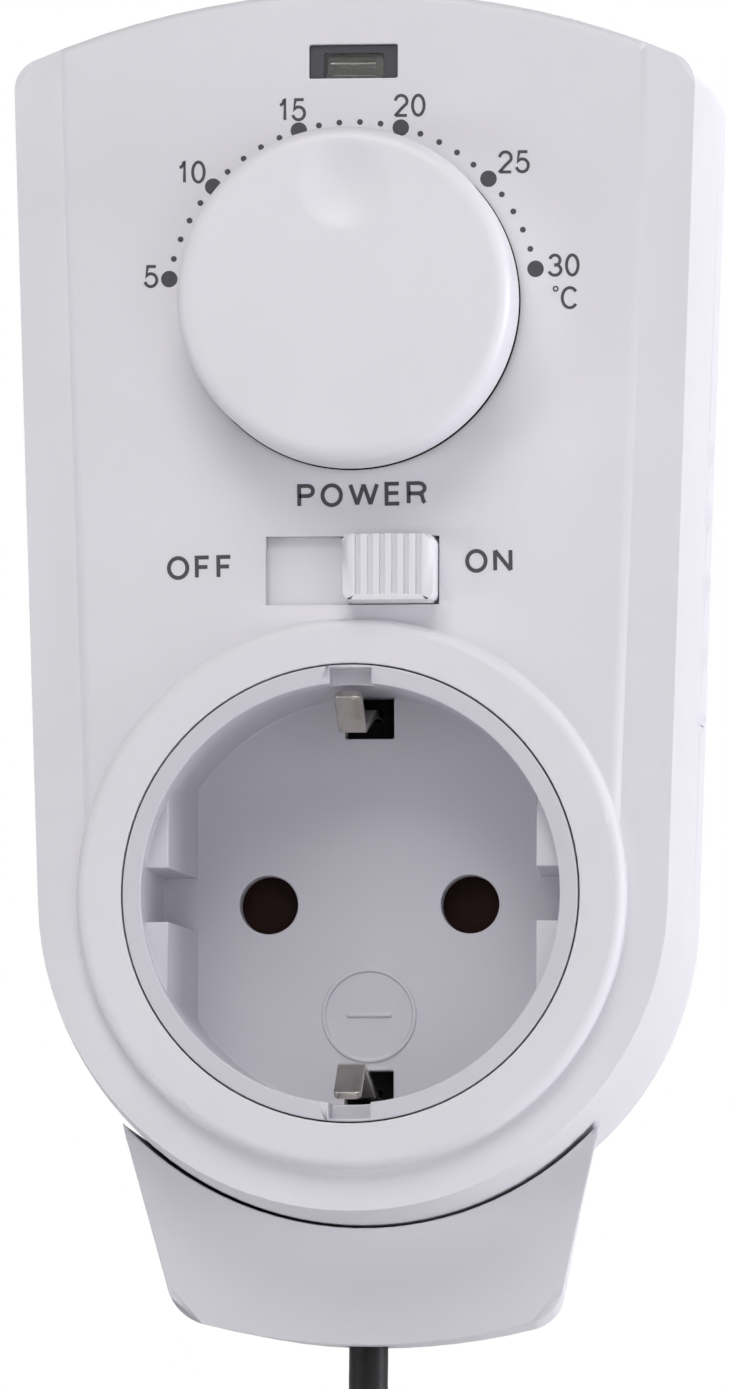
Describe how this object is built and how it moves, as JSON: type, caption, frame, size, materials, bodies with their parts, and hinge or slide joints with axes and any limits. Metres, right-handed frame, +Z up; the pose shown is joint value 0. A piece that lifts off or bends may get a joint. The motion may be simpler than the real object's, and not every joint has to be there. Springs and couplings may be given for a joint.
{
  "type": "plug-in temperature controller",
  "caption": "Plug-in thermostat with a switched socket on its front, a setting knob, a slide switch, an indicator window and a remote probe on a thin coiled lead.",
  "frame": {"origin": "midpoint between the two plug pins on the plug body's end face, which is the face that meets the wall socket's floor", "axes": "+Y points into the wall along the plug pins, +Z up, +X to the right as seen by someone who faces the device"},
  "size_m": [0.0658, 0.0859, 0.2693],
  "materials": {
    "housing_abs": "fine matt grain",
    "shutter_plastic": "satin",
    "insulating_plastic": "satin",
    "bright_nickel": "bright",
    "steel": "zinc plated",
    "contact_brass": "plain",
    "dark_plastic": "satin",
    "smoked_lens": "clear smoked",
    "lamp_glass": "clear",
    "white_plastic": "satin",
    "board_laminate": "satin",
    "relay_plastic": "satin",
    "film_capacitor": "satin",
    "capacitor_sleeve": "gloss",
    "varistor_coating": "satin",
    "resistor_coating": "satin",
    "brown_wire": "satin",
    "blue_wire": "satin",
    "black_wire": "satin",
    "cord_jacket": "satin"
  },
  "bodies": {
    "housing": {"front_cover": "housing_abs", "rear_cover": "housing_abs", "socket_insert": "housing_abs", "shutter_spring": "steel", "contact_carrier": "insulating_plastic", "earth_bracket": "bright_nickel", "earth_rivet": "bright_nickel", "live_contact": "contact_brass", "neutral_contact": "contact_brass", "live_busbar": "contact_brass", "neutral_busbar": "contact_brass", "plug_body": "housing_abs", "plug_pin_live": "bright_nickel", "plug_pin_neutral": "bright_nickel", "pin_carrier": "insulating_plastic", "plug_earth_strap": "bright_nickel", "potentiometer_body": "dark_plastic", "slide_switch_body": "dark_plastic", "indicator_lens": "smoked_lens", "indicator_lamp": "lamp_glass", "lamp_holder": "white_plastic", "circuit_board": "board_laminate", "relay": "relay_plastic", "dropper_capacitor": "film_capacitor", "smoothing_capacitors": "capacitor_sleeve", "surge_varistor": "varistor_coating", "fuse": "dark_plastic", "control_chip": "dark_plastic", "resistors": "resistor_coating", "rectifier_diodes": "dark_plastic", "probe_header": "white_plastic", "probe_plug": "white_plastic", "live_wire": "brown_wire", "neutral_wire": "blue_wire", "switched_wire": "black_wire", "probe_conductors": "black_wire", "cord_clamp": "insulating_plastic", "clamp_screws": "steel", "housing_screws": "steel", "board_screws": "steel", "carrier_screws": "steel", "probe_cord": "cord_jacket", "cord_coil": "cord_jacket", "cord_tie": "cord_jacket", "probe_tail": "cord_jacket", "probe_sleeve": "cord_jacket", "probe_tip": "steel"},
    "knob": {"temperature_knob": "housing_abs", "control_shaft": "steel"},
    "slider": {"switch_slider": "housing_abs", "switch_lever": "dark_plastic"},
    "shutter": {"shutter": "shutter_plastic"}
  },
  "joints": [
    {"name": "knob_turn", "type": "hinge", "parent": "housing", "child": "knob", "pos_m": [0, -0.0585, 0.0551], "axis": [0, 1, 0], "range_deg": [-79.5, 79.5]},
    {"name": "power_slide", "type": "slide", "parent": "housing", "child": "slider", "axis": [1, 0, 0], "range_m": [-0.0074, 0]},
    {"name": "shutter_turn", "type": "hinge", "parent": "housing", "child": "shutter", "pos_m": [0, -0.039, 0], "axis": [0, 1, 0], "range_deg": [0, 38], "stiffness_Nm_per_rad": 0.002, "springref_deg": -20.05}
  ]
}
